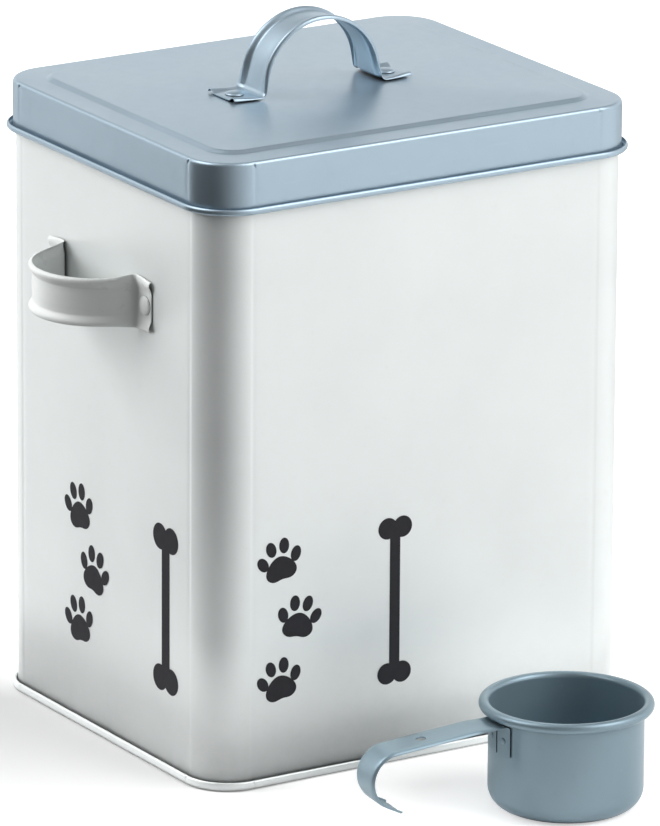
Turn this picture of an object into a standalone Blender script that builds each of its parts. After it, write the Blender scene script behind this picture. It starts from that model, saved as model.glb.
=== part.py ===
"""Pet food bin: a lidded sheet-metal box with riveted strap handles, and the scoop of the set.

Units are metres, +Z is up. The origin is on the floor at the middle of the bin's base.
The wide front wall faces -Y; the side handles stand on the -X and +X walls.
Sheet pieces are open surfaces on the middle of the sheet, given their thickness by Solidify.
"""

import math

import bmesh
import bpy
from mathutils import Vector

MM = 0.001
GAP = 0.2 * MM  # left between pieces that touch on the real object
SHEET = 0.6 * MM  # wall, base, lid and cup

# Bin body: outer size of the wrapped wall
BODY_WIDTH = 240.0 * MM
BODY_DEPTH = 205.0 * MM
BODY_CORNER = 21.7 * MM
RIM_TOP = 314.0 * MM
RIM_CURL_RADIUS = 1.9 * MM
RIM_CURL_TURN = 285.0  # degrees
WALL_FOOT = 1.0 * MM
LOCK_SEAM_WIDTH = 9.0 * MM
LOCK_SEAM_THICKNESS = 1.2 * MM
LOCK_SEAM_FOOT = 6.6 * MM
LOCK_SEAM_HEAD = 306.0 * MM

# Base: pressed panel whose edge runs under the foot of the wall and is hemmed outside it
SEAM_HEIGHT = 4.6 * MM
SEAM_PROUD = 2.4 * MM
SEAM_HEM_RADIUS = 0.8 * MM
PANEL_LIFT = 2.4 * MM
PANEL_CHAMFER = 0.5 * MM
PANEL_STEP_INSET = 12.0 * MM
PANEL_STEP_WIDTH = 4.0 * MM

# Lid
LID_TOP = 315.0 * MM
LID_SKIRT_OFFSET = 1.4 * MM
LID_SKIRT_FOOT = 291.2 * MM
LID_EDGE_RADIUS = 2.2 * MM
LID_CURL_RADIUS = 1.6 * MM
LID_CURL_TURN = 242.0  # degrees, from the skirt under and up outside it
LID_PANEL_RAISE = 1.5 * MM
LID_PANEL_INSET_X = 13.5 * MM
LID_PANEL_INSET_Y = 15.0 * MM
LID_PANEL_CORNER = 14.0 * MM
LID_PANEL_SLOPE = 4.0 * MM

# Strap handle: one pressing, used on the lid and on both side walls
STRAP_SHEET = 0.8 * MM
SIDE_STRAP_HALF_LENGTH = 48.5 * MM
SIDE_STRAP_RISE = 33.2 * MM
LID_STRAP_HALF_LENGTH = 50.8 * MM
LID_STRAP_RISE = 34.5 * MM
STRAP_BEND = 3.5 * MM
STRAP_LEG_BASE = 36.0 * MM
STRAP_LEG_LEAN = 15.0  # degrees
STRAP_FLAT_HALF = 6.4 * MM
STRAP_BEAD_PEAK = 10.4 * MM
STRAP_BEAD_RISE = 2.0 * MM
STRAP_HALF_WIDTH = 12.4 * MM
STRAP_LIP_RISE = 0.2 * MM
# Where the strap turns up from its foot, its beads are pressed flatter and so spread wider
PRESS_DEPTH = 0.65  # share of a bead's rise
PRESS_SPREAD = 0.4  # of a bead's width, where it is pressed wholly flat
PRESS_FOOT_REACH = 12.0 * MM
PRESS_LEG_REACH = 9.0 * MM
SIDE_HANDLE_Y = 2.9 * MM
SIDE_HANDLE_Z = 231.6 * MM
LID_HANDLE_X = -3.5 * MM

# Rivets of the strap handles
RIVET_STATION = 43.2 * MM
RIVET_SHANK = 2.3 * MM
RIVET_HEAD_RADIUS = 4.7 * MM
RIVET_HEAD_HEIGHT = 1.5 * MM
RIVET_CLINCH_RADIUS = 3.9 * MM
RIVET_CLINCH_HEIGHT = 0.9 * MM

# Scoop: a turned cup, and a strip handle bent down into two tabs on the cup's wall
SCOOP_PLACE = (21.0 * MM, -198.0 * MM, 0.0)
SCOOP_HANDLE_TURN = 173.2  # degrees from +X to the handle, seen from above
CUP_RADIUS = 37.7 * MM
CUP_FLOOR_CORNER = 10.0 * MM
CUP_CURL_RADIUS = 2.4 * MM
CUP_CURL_CENTRE = 51.2 * MM
CUP_CURL_TURN = 265.0  # degrees
GRIP_SHEET = 0.9 * MM
GRIP_HALF_WIDTH = 10.0 * MM
GRIP_TAB_FOOT = 32.0 * MM
GRIP_ROOT_TOP = 47.4 * MM
GRIP_ROOT_BEND = 1.6 * MM
GRIP_SLOPE = 6.2  # degrees down from the cup
GRIP_HOOK_START = 94.4 * MM
GRIP_HOOK_RADIUS = 14.3 * MM
GRIP_HOOK_TURN = 147.0  # degrees
GRIP_HOOK_TAIL = 8.6 * MM
GRIP_BLEND = 10.0 * MM  # the root's hollow and its flat edges run out over this length
GRIP_EDGE_WIDTH = 1.2 * MM
GRIP_EDGE_DROP = 1.1 * MM
GRIP_TAB_SHIFT = 3.0 * MM  # the tabs sit this far to one side of the strip's line
GRIP_SLIT_WIDTH = 1.0 * MM
GRIP_SLIT_TOP = 44.6 * MM
GRIP_HOLE_STATION = 77.6 * MM
GRIP_HOLE_RADIUS = 2.6 * MM
SCOOP_RIVET_Z = 39.5 * MM
SCOOP_RIVET_SIDE = 5.4 * MM
SCOOP_RIVET_SHANK = 1.0 * MM
SCOOP_RIVET_HEAD = 1.7 * MM
SCOOP_RIVET_HEIGHT = 0.5 * MM

BORE_LENGTH = 16.0 * MM  # of every cutter for a hole
SHARP_EDGE = 32.0  # degrees between two faces

# Flats that stand for each curve
CORNER_STEPS = 6
ROUND_STEPS = 32
RIVET_STEPS = 12
CURL_STEPS = 9
BEND_STEPS = 4
SLOPE_STEPS = 5
BOW_STEPS = 16
HOOK_STEPS = 12


def start_clean():
    for thing in list(bpy.data.objects):
        bpy.data.objects.remove(thing, do_unlink=True)
    collections = []
    for name in ("pet_food_bin", "cutters"):
        made = bpy.data.collections.new(name)
        bpy.context.scene.collection.children.link(made)
        collections.append(made)
    return collections


BIN, CUTTERS = start_clean()


def paint(name, colour, roughness):
    material = bpy.data.materials.new(name)
    material.use_nodes = True
    shader = material.node_tree.nodes["Principled BSDF"]
    shader.inputs["Base Color"].default_value = (*colour, 1.0)
    shader.inputs["Roughness"].default_value = roughness
    shader.inputs["Metallic"].default_value = 0.0
    return material


WHITE_PAINT = paint("white_paint", (0.80, 0.81, 0.79), 0.35)
HANDLE_PAINT = paint("handle_paint", (0.74, 0.77, 0.77), 0.32)
LID_PAINT = paint("lid_paint", (0.40, 0.48, 0.55), 0.34)
SCOOP_PAINT = paint("scoop_paint", (0.22, 0.29, 0.33), 0.36)


# Outlines and placing


def arc(centre, radius, start, turn, steps):
    """Points round a circle from `start` degrees through `turn`, both ends included."""
    points = []
    for i in range(steps + 1):
        angle = math.radians(start + turn * i / steps)
        x = centre[0] + radius * math.cos(angle)
        points.append((x, centre[1] + radius * math.sin(angle)))
    return points


def quarter_dome(radius, height, steps):
    """Points down a quarter of an ellipse, from its top on the axis to its foot."""
    quarter = arc((0.0, 0.0), 1.0, 90, -90, steps)
    return [(radius * x, height * y) for x, y in quarter]


def soft_step(start, end, steps):
    """An S curve between two heights, flat at both ends."""
    points = []
    for i in range(steps + 1):
        t = i / steps
        ease = t * t * (3 - 2 * t)
        x = start[0] + (end[0] - start[0]) * t
        points.append((x, start[1] + (end[1] - start[1]) * ease))
    return points


def rounded_outline(half_x, half_y, corner, z):
    outline = []
    middles = (
        (half_x - corner, half_y - corner),
        (-half_x + corner, half_y - corner),
        (-half_x + corner, -half_y + corner),
        (half_x - corner, -half_y + corner),
    )
    for quarter, middle in enumerate(middles):
        for x, y in arc(middle, corner, 90 * quarter, 90, CORNER_STEPS):
            outline.append((x, y, z))
    return outline


def body_outline(offset, z):
    """The body's outline moved out by `offset`, at height `z`."""
    half_x = BODY_WIDTH / 2 + offset
    return rounded_outline(half_x, BODY_DEPTH / 2 + offset, BODY_CORNER + offset, z)


def across_path(path):
    """For each point of a path in a plane, the point and the unit normal on its left."""
    for i, here in enumerate(path):
        before = Vector(path[max(i - 1, 0)])
        after = Vector(path[min(i + 1, len(path) - 1)])
        along = (after - before).normalized()
        yield Vector(here), Vector((-along.y, along.x))


def put(name, mesh, material, parent=None, place=(0, 0, 0), turn=(0, 0, 0), collection=BIN):
    thing = bpy.data.objects.new(name, mesh)
    collection.objects.link(thing)
    thing.parent = parent
    thing.location = place
    thing.rotation_euler = turn
    if material and not mesh.materials:
        mesh.materials.append(material)
    return thing


def empty(name, place, turn=(0, 0, 0)):
    return put(name, None, None, place=place, turn=turn)


# Shapes


def shade(mesh):
    mesh.shade_smooth()
    mesh.set_sharp_from_angle(angle=math.radians(SHARP_EDGE))


def swept_surface(name, sections, closed_section, capped):
    """An open surface: the first section is extruded from each section to the next.

    `capped` fills the first section, for a pan whose sections close round a flat middle.
    """
    mesh = bmesh.new()
    corners = [mesh.verts.new(point) for point in sections[0]]
    size = len(corners)
    spans = size if closed_section else size - 1
    edges = [mesh.edges.new((corners[i], corners[(i + 1) % size])) for i in range(spans)]
    if capped:
        bmesh.ops.contextual_create(mesh, geom=edges)
    for section in sections[1:]:
        made = bmesh.ops.extrude_edge_only(mesh, edges=edges)["geom"]
        edges = [item for item in made if isinstance(item, bmesh.types.BMEdge)]
        moved = [item for item in made if isinstance(item, bmesh.types.BMVert)]
        for vertex, point in zip(moved, section):
            vertex.co = point
    bmesh.ops.recalc_face_normals(mesh, faces=mesh.faces)
    data = bpy.data.meshes.new(name)
    mesh.to_mesh(data)
    mesh.free()
    shade(data)
    return data


def give_thickness(thing, thickness):
    modifier = thing.modifiers.new("sheet", "SOLIDIFY")
    modifier.thickness = thickness
    modifier.offset = 0.0
    modifier.use_even_offset = True


def turned(thing, steps):
    modifier = thing.modifiers.new("turn", "SCREW")
    modifier.axis = "Z"
    modifier.steps = steps
    modifier.render_steps = steps
    modifier.use_merge_vertices = True
    modifier.merge_threshold = 0.00001


def profile_mesh(name, profile):
    """A line of (radius, height) points in the XZ plane, for Screw to turn."""
    data = bpy.data.meshes.new(name)
    points = [(radius, 0.0, z) for radius, z in profile]
    data.from_pydata(points, [(i, i + 1) for i in range(len(points) - 1)], [])
    return data


def boolean(thing, other, operation):
    modifier = thing.modifiers.new(operation.lower(), "BOOLEAN")
    modifier.operation = operation
    modifier.solver = "EXACT"
    modifier.object = other


def cutter(name, mesh, parent, place, turn=(0, 0, 0)):
    thing = put(name, mesh, None, parent, place, turn, CUTTERS)
    thing.hide_render = True
    thing.display_type = "WIRE"
    return thing


def bore_mesh(radius):
    mesh = bmesh.new()
    bmesh.ops.create_cone(
        mesh,
        cap_ends=True,
        segments=RIVET_STEPS,
        radius1=radius,
        radius2=radius,
        depth=BORE_LENGTH,
    )
    data = bpy.data.meshes.new("bore")
    mesh.to_mesh(data)
    mesh.free()
    return data


def block_mesh(size):
    mesh = bmesh.new()
    bmesh.ops.create_cube(mesh, size=1.0)
    bmesh.ops.scale(mesh, vec=size, verts=mesh.verts)
    data = bpy.data.meshes.new("block")
    mesh.to_mesh(data)
    mesh.free()
    return data


def finished_mesh(thing):
    """The mesh of an object with its modifiers applied; the object itself is removed."""
    bpy.context.view_layer.update()
    seen = thing.evaluated_get(bpy.context.evaluated_depsgraph_get())
    mesh = bpy.data.meshes.new_from_object(seen)
    bpy.data.objects.remove(thing, do_unlink=True)
    return mesh


# Bin


def body_shell():
    middle = -SHEET / 2
    curl = (middle - RIM_CURL_RADIUS, RIM_TOP - SHEET / 2 - RIM_CURL_RADIUS)
    line = [(middle, WALL_FOOT)]
    line += arc(curl, RIM_CURL_RADIUS, 0, RIM_CURL_TURN, CURL_STEPS)
    rings = [body_outline(offset, z) for offset, z in line]
    shell = put("body_shell", swept_surface("body_shell", rings, True, False), WHITE_PAINT)
    give_thickness(shell, SHEET)
    depth = LOCK_SEAM_THICKNESS + SHEET / 2
    height = LOCK_SEAM_HEAD - LOCK_SEAM_FOOT
    place = (0, BODY_DEPTH / 2 - SHEET / 2 - depth / 2, LOCK_SEAM_FOOT + height / 2)
    lap = cutter("lock_seam", block_mesh((LOCK_SEAM_WIDTH, depth, height)), None, place)
    boolean(shell, lap, "UNION")
    return shell


def base_pan():
    """From the middle out: panel, step up, leg inside the wall, channel under it, hem."""
    floor = SHEET / 2
    shelf = floor + PANEL_LIFT
    inner = -SHEET - GAP - SHEET / 2
    outer = GAP + SHEET / 2
    hem = outer + SEAM_HEM_RADIUS
    crown = SEAM_HEIGHT - SHEET / 2 - SEAM_HEM_RADIUS
    step = -PANEL_STEP_INSET
    line = soft_step((step - PANEL_STEP_WIDTH, floor), (step, shelf), SLOPE_STEPS)
    line += [(inner - PANEL_CHAMFER, shelf), (inner, shelf - PANEL_CHAMFER)]
    line += [(inner, floor), (outer, floor)]
    line += arc((hem, crown), SEAM_HEM_RADIUS, 180, -180, BEND_STEPS)
    line += [(SEAM_PROUD - SHEET / 2, SHEET)]
    rings = [body_outline(offset, z) for offset, z in line]
    pan = put("base_pan", swept_surface("base_pan", rings, True, True), WHITE_PAINT)
    give_thickness(pan, SHEET)
    return pan


def lid_outline(offset, z):
    """The lid's outline; inside the edge it changes to the raised panel's own outline."""
    if offset > -LID_PANEL_INSET_Y / 2:
        return body_outline(offset, z)
    beyond = offset + LID_PANEL_INSET_Y
    half_x = BODY_WIDTH / 2 - LID_PANEL_INSET_X + beyond
    half_y = BODY_DEPTH / 2 - LID_PANEL_INSET_Y + beyond
    return rounded_outline(half_x, half_y, LID_PANEL_CORNER + beyond, z)


def lid_pan(parent):
    """From the middle out: raised panel, its slope, top, rounded edge, skirt, open curl."""
    skirt = LID_SKIRT_OFFSET - SHEET / 2
    flat = LID_TOP - SHEET / 2
    slope = LID_PANEL_SLOPE / 2
    inset = -LID_PANEL_INSET_Y
    raised = flat + LID_PANEL_RAISE
    line = soft_step((inset - slope, raised), (inset + slope, flat), SLOPE_STEPS)
    edge = LID_EDGE_RADIUS - SHEET / 2
    line += arc((skirt - edge, flat - edge), edge, 90, -90, BEND_STEPS)
    curl = (skirt + LID_CURL_RADIUS, LID_SKIRT_FOOT)
    line += arc(curl, LID_CURL_RADIUS, 180, LID_CURL_TURN, CURL_STEPS)
    rings = [lid_outline(offset, z - LID_TOP) for offset, z in line]
    lid = put("lid_pan", swept_surface("lid_pan", rings, True, True), LID_PAINT, parent)
    give_thickness(lid, SHEET)
    return lid


# Strap handles and their rivets


def strap_path(half_length, rise):
    """Middle of the strap from foot to foot, as (along, out) points."""
    lean = math.radians(STRAP_LEG_LEAN)
    bend_turn = 90 - STRAP_LEG_LEAN
    bend = arc((-STRAP_LEG_BASE, STRAP_BEND), STRAP_BEND, -90, bend_turn, BEND_STEPS)
    foot = bend[-1]
    # The bow's radius follows from legs that run straight into it at their lean.
    span = -foot[0] - (rise - foot[1]) * math.tan(lean)
    radius = span / (math.cos(lean) - (1 - math.sin(lean)) * math.tan(lean))
    bow_turn = 2 * STRAP_LEG_LEAN - 180
    bow_start = 180 - STRAP_LEG_LEAN
    bow = arc((0.0, rise - radius), radius, bow_start, bow_turn, BOW_STEPS)
    halfway = ((foot[0] + bow[0][0]) / 2, (foot[1] + bow[0][1]) / 2)
    leg = [(-half_length, 0.0)] + bend + [halfway]
    return leg + bow + [(-x, y) for x, y in leg[::-1]]


def strap_section():
    """(across, out) points: flat middle, and on each side a bead with a turned-down lip."""
    peak = (STRAP_BEAD_PEAK, STRAP_BEAD_RISE)
    half = soft_step((STRAP_FLAT_HALF, 0.0), peak, 3)
    lip_width = STRAP_HALF_WIDTH - STRAP_SHEET / 2 - STRAP_BEAD_PEAK
    for across, out in quarter_dome(lip_width, STRAP_BEAD_RISE - STRAP_LIP_RISE, 3)[1:]:
        half.append((STRAP_BEAD_PEAK + across, STRAP_LIP_RISE + out))
    return [(-across, out) for across, out in half[::-1]] + half


def pressed(along, out):
    """How far the beads are pressed flat at this point of the path, from 0 to PRESS_DEPTH."""
    from_bend = (abs(along) - STRAP_LEG_BASE) / PRESS_FOOT_REACH
    up_leg = out / PRESS_LEG_REACH
    return PRESS_DEPTH * math.exp(-(from_bend**2) - up_leg**2)


def strap_mesh(half_length, rise):
    """The strap with its two rivet holes, along X, standing up on z = -STRAP_SHEET / 2."""
    sections = []
    for here, normal in across_path(strap_path(half_length, rise)):
        flat = pressed(here.x, here.y)
        section = []
        for across, out in strap_section():
            bead = max(0.0, abs(across) - STRAP_FLAT_HALF)
            across += math.copysign(bead * PRESS_SPREAD * flat, across)
            spot = here + normal * out * (1 - flat)
            section.append((spot.x, across, spot.y))
        sections.append(section)
    strap = put("strap", swept_surface("strap", sections, False, False), None)
    give_thickness(strap, STRAP_SHEET)
    for end in (-1, 1):
        hole = bore_mesh(RIVET_SHANK + GAP)
        bore = cutter("strap_bore", hole, None, (end * RIVET_STATION, 0, 0))
        boolean(strap, bore, "DIFFERENCE")
    return finished_mesh(strap)


def rivet_mesh(shank, head, height, clinch, clinch_height, grip):
    """A closed rivet: its head sits on z = 0, and its clinched end under z = -grip."""
    profile = quarter_dome(head, height, 4)
    profile += [(shank, 0.0), (shank, -grip)]
    profile += [(x, -grip - y) for x, y in quarter_dome(clinch, clinch_height, 2)[::-1]]
    rivet = put("rivet", profile_mesh("rivet", profile), None)
    turned(rivet, RIVET_STEPS)
    mesh = finished_mesh(rivet)
    shade(mesh)
    return mesh


def handle_rivet_mesh():
    grip = STRAP_SHEET + SHEET + 3 * GAP
    return rivet_mesh(
        RIVET_SHANK,
        RIVET_HEAD_RADIUS,
        RIVET_HEAD_HEIGHT,
        RIVET_CLINCH_RADIUS,
        RIVET_CLINCH_HEIGHT,
        grip,
    )


def strap_handle(name, ends, meshes, material, seat, sheet):
    """A strap and two rivets on the empty `seat`, whose +Z leaves the face of `sheet`."""
    strap, rivet = meshes
    put(name, strap.copy(), material, seat, (0, 0, GAP + STRAP_SHEET / 2))
    for end, side in zip(ends, (-1, 1)):
        spot = (side * RIVET_STATION, 0, STRAP_SHEET + 2 * GAP)
        put(f"{name}_rivet_{end}", rivet.copy(), material, seat, spot)
        hole = bore_mesh(RIVET_SHANK + GAP)
        boolean(sheet, cutter(f"{name}_bore_{end}", hole, seat, spot), "DIFFERENCE")


# Scoop


def scoop_cup(parent):
    """From the middle out: floor, rounded corner, wall, and the curl rolled outward."""
    middle = CUP_RADIUS - SHEET / 2
    corner = CUP_FLOOR_CORNER - SHEET / 2
    floor = SHEET / 2
    line = [(0.0, floor)]
    line += arc((middle - corner, floor + corner), corner, -90, 90, CORNER_STEPS)
    curl = (middle + CUP_CURL_RADIUS, CUP_CURL_CENTRE)
    line += arc(curl, CUP_CURL_RADIUS, 180, -CUP_CURL_TURN, CURL_STEPS)
    cup = put("scoop_cup", profile_mesh("scoop_cup", line), SCOOP_PAINT, parent)
    turned(cup, ROUND_STEPS)
    give_thickness(cup, SHEET)
    return cup


def grip_path():
    """Middle of the strip from the foot of its tabs to the tip of its hook."""
    wall = CUP_RADIUS + GAP + GRIP_SHEET / 2
    bend = GRIP_ROOT_BEND
    slope = math.radians(GRIP_SLOPE)
    line = [(wall, GRIP_TAB_FOOT), (wall, (GRIP_TAB_FOOT + GRIP_SLIT_TOP) / 2)]
    root_centre = (wall + bend, GRIP_ROOT_TOP - bend)
    line += arc(root_centre, bend, 180, -90 - GRIP_SLOPE, BEND_STEPS)
    root = line[-1]
    blended = wall + bend + GRIP_BLEND
    for station in (blended - GRIP_BLEND / 2, blended, GRIP_HOOK_START):
        line.append((station, root[1] - (station - root[0]) * math.tan(slope)))
    start = line[-1]
    radius = GRIP_HOOK_RADIUS
    centre = (start[0] - radius * math.sin(slope), start[1] - radius * math.cos(slope))
    line += arc(centre, radius, 90 - GRIP_SLOPE, -GRIP_HOOK_TURN, HOOK_STEPS)[1:]
    heading = -math.radians(GRIP_SLOPE + GRIP_HOOK_TURN)
    tip = line[-1]
    run = math.cos(heading) * GRIP_HOOK_TAIL
    line.append((tip[0] + run, tip[1] + math.sin(heading) * GRIP_HOOK_TAIL))
    return line


def grip_section():
    """(across, drop) points: a flat strip with both edges turned down."""
    edge = GRIP_HALF_WIDTH - GRIP_SHEET / 2
    half = [(edge / 6, 0.0), (edge / 2, 0.0)]
    half += soft_step((edge - GRIP_EDGE_WIDTH, 0.0), (edge, GRIP_EDGE_DROP), 2)
    return [(-across, drop) for across, drop in half[::-1]] + half


def scoop_handle(parent):
    """At its root the strip is flat across its edges and hollowed to the cup's wall."""
    path = grip_path()
    wall = path[0][0]
    sections = []
    for here, normal in across_path(path):
        from_root = (here.x - wall - GRIP_ROOT_BEND) / GRIP_BLEND
        flanged = max(0.0, min(1.0, from_root))
        section = []
        for across, drop in grip_section():
            spot = here - normal * drop * flanged
            across += GRIP_TAB_SHIFT * (1 - flanged)
            sag = wall - math.sqrt(wall * wall - across * across)
            section.append((spot.x - sag * (1 - flanged), across, spot.y))
        sections.append(section)
    surface = swept_surface("scoop_handle", sections, False, False)
    grip = put("scoop_handle", surface, SCOOP_PAINT, parent)
    give_thickness(grip, GRIP_SHEET)
    tab_height = GRIP_SLIT_TOP - GRIP_TAB_FOOT
    slit = block_mesh((BORE_LENGTH / 2, GRIP_SLIT_WIDTH, 2 * tab_height))
    slit_place = (wall, GRIP_TAB_SHIFT, GRIP_SLIT_TOP - tab_height)
    boolean(grip, cutter("grip_slit", slit, parent, slit_place), "DIFFERENCE")
    hole = bore_mesh(GRIP_HOLE_RADIUS)
    hole_place = (GRIP_HOLE_STATION, 0, GRIP_ROOT_TOP)
    boolean(grip, cutter("grip_hole", hole, parent, hole_place), "DIFFERENCE")
    return grip


def scoop_rivets(parent, cup, grip):
    seat_radius = CUP_RADIUS + GAP + GRIP_SHEET + GAP
    shared = rivet_mesh(
        SCOOP_RIVET_SHANK,
        SCOOP_RIVET_HEAD,
        SCOOP_RIVET_HEIGHT,
        SCOOP_RIVET_HEAD,
        SCOOP_RIVET_HEIGHT,
        GRIP_SHEET + SHEET + 3 * GAP,
    )
    for name, side in (("left", 1), ("right", -1)):
        angle = math.asin((GRIP_TAB_SHIFT + side * SCOOP_RIVET_SIDE) / seat_radius)
        seat = (seat_radius * math.cos(angle), seat_radius * math.sin(angle), SCOOP_RIVET_Z)
        turn = (0, math.radians(90), angle)
        put(f"scoop_rivet_{name}", shared.copy(), SCOOP_PAINT, parent, seat, turn)
        hole = bore_mesh(SCOOP_RIVET_SHANK + GAP)
        bore = cutter(f"scoop_bore_{name}", hole, parent, seat, turn)
        boolean(cup, bore, "DIFFERENCE")
        boolean(grip, bore, "DIFFERENCE")


# Assembly


def build():
    shell = body_shell()
    base_pan()
    rivet = handle_rivet_mesh()
    meshes = (strap_mesh(SIDE_STRAP_HALF_LENGTH, SIDE_STRAP_RISE), rivet)
    quarter = math.radians(90)
    for name, side in (("side_handle_left", -1), ("side_handle_right", 1)):
        # The seat's X runs along the wall and its Z points out of it.
        turn = (quarter, 0, side * quarter)
        place = (side * BODY_WIDTH / 2, SIDE_HANDLE_Y, SIDE_HANDLE_Z)
        seat = empty(f"{name}_seat", place, turn)
        ends = ("rear", "front") if side < 0 else ("front", "rear")
        strap_handle(name, ends, meshes, HANDLE_PAINT, seat, shell)
    lid_frame = empty("lid", (0, 0, LID_TOP))
    lid = lid_pan(lid_frame)
    seat = empty("lid_handle_seat", (LID_HANDLE_X, 0, LID_PANEL_RAISE))
    seat.parent = lid_frame
    meshes = (strap_mesh(LID_STRAP_HALF_LENGTH, LID_STRAP_RISE), rivet)
    strap_handle("lid_handle", ("left", "right"), meshes, LID_PAINT, seat, lid)
    scoop = empty("scoop", SCOOP_PLACE, (0, 0, math.radians(SCOOP_HANDLE_TURN)))
    cup = scoop_cup(scoop)
    grip = scoop_handle(scoop)
    scoop_rivets(scoop, cup, grip)


build()
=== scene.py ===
"""Looks of the pet food bin: sheet-metal pieces, painted finishes, printed motifs and a plain studio.

Every piece stands where the CAD frame says and rides on its body. Units are metres, +Z is up.
Sheet pieces are lofted or turned on the middle of the sheet and thickened with Solidify.
"""

import math

import bmesh
import bpy
from mathutils import Matrix, Vector


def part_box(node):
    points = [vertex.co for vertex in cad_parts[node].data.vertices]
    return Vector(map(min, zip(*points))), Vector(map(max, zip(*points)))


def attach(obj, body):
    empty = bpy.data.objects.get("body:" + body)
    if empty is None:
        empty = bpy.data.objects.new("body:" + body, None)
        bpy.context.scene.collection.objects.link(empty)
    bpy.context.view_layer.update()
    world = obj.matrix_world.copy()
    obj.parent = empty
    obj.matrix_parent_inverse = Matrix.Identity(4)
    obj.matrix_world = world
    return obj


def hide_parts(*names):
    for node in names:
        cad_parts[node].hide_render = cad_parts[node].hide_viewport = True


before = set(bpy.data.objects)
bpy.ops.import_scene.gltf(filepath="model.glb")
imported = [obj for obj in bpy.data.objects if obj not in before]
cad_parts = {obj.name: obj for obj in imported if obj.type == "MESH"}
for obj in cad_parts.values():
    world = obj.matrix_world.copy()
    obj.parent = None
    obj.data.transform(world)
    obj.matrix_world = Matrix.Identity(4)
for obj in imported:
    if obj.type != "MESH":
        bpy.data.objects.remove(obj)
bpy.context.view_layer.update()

MM = 0.001
GAP = 0.2 * MM
SHEET = 0.6 * MM

# Anchors, read from the frame
SHELL_LOW, SHELL_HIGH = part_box("body_shell")
PAN_LOW, PAN_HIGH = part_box("base_pan")
LID_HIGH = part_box("lid_pan")[1]
CUP_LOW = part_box("scoop_cup")[0]
HALF_WIDTH = SHELL_HIGH.x
HALF_DEPTH = SHELL_HIGH.y
RIM_TOP = SHELL_HIGH.z
WALL_FOOT = SHELL_LOW.z

# Bin
BODY_CORNER = 21.7 * MM
RIM_CURL_RADIUS = 1.9 * MM
RIM_CURL_TURN = 285.0  # degrees
SEAM_GROOVE_WIDTH = 0.7 * MM
SEAM_GROOVE_DEPTH = 0.35 * MM
LOCK_SEAM_WIDTH = 9.0 * MM
LOCK_SEAM_THICKNESS = 1.2 * MM
LOCK_SEAM_FOOT = 6.6 * MM
LOCK_SEAM_HEAD = 306.0 * MM
LOCK_SEAM_EDGE = 0.4 * MM  # rounding of its edges

# Base
SEAM_HEIGHT = PAN_HIGH.z
SEAM_PROUD = PAN_HIGH.x - HALF_WIDTH
SEAM_HEM_RADIUS = 0.8 * MM
PANEL_LIFT = 2.4 * MM
PANEL_CHAMFER = 0.5 * MM
PANEL_STEP_INSET = 12.0 * MM
PANEL_STEP_WIDTH = 4.0 * MM
HEM_LIP = 1.5 * MM  # the hem's straight outer edge

# Lid
LID_PANEL_RAISE = 1.5 * MM
LID_TOP = LID_HIGH.z - LID_PANEL_RAISE
LID_SKIRT_OFFSET = 1.4 * MM
LID_SKIRT_FOOT = 291.2 * MM
LID_EDGE_RADIUS = 2.2 * MM
LID_CURL_RADIUS = 1.6 * MM
LID_CURL_TURN = 242.0  # degrees
LID_PANEL_INSET_X = 13.5 * MM
LID_PANEL_INSET_Y = 15.0 * MM
LID_PANEL_CORNER = 14.0 * MM
LID_PANEL_SLOPE = 4.0 * MM

# The press leaves a small pinch where each rounded corner runs into its straight sides
PINCH_WIDTH = 0.55 * MM
LID_PINCH_DEPTH = 0.7 * MM
HEM_PINCH_DEPTH = 0.6 * MM
# Below the lid's rounded edge: the drop, and the share of the pinch that is left there
LID_PINCH_FADE = ((0.4 * MM, 0.6), (0.9 * MM, 0.15), (1.6 * MM, 0.0), (12.0 * MM, 0.0))

# Strap handles
STRAP_SHEET = 0.8 * MM
SIDE_STRAP = (48.5 * MM, 33.2 * MM)  # half length and rise
LID_STRAP = (50.8 * MM, 34.5 * MM)
STRAP_BEND = 3.5 * MM
STRAP_LEG_BASE = 36.0 * MM
STRAP_LEG_LEAN = 15.0  # degrees
STRAP_FLAT_HALF = 6.4 * MM
STRAP_BEAD_PEAK = 10.4 * MM
STRAP_BEAD_RISE = 2.0 * MM
STRAP_HALF_WIDTH = 12.4 * MM
STRAP_LIP_RISE = 0.2 * MM
STRAP_EDGE = 0.18 * MM  # rounding of its cut edges
# Where the strap turns up from its foot, its beads are pressed flatter and so spread wider
PRESS_DEPTH = 0.65  # share of a bead's rise
PRESS_SPREAD = 0.4  # of a bead's width, where it is pressed wholly flat
PRESS_FOOT_REACH = 12.0 * MM
PRESS_LEG_REACH = 9.0 * MM
RIVET_STATION = 43.2 * MM
RIVET_HEAD_RADIUS = 4.7 * MM
RIVET_HEAD_HEIGHT = 1.5 * MM
RIVET_CLINCH_RADIUS = 3.9 * MM
RIVET_CLINCH_HEIGHT = 0.9 * MM
RIVET_SHANK = 2.3 * MM

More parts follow.
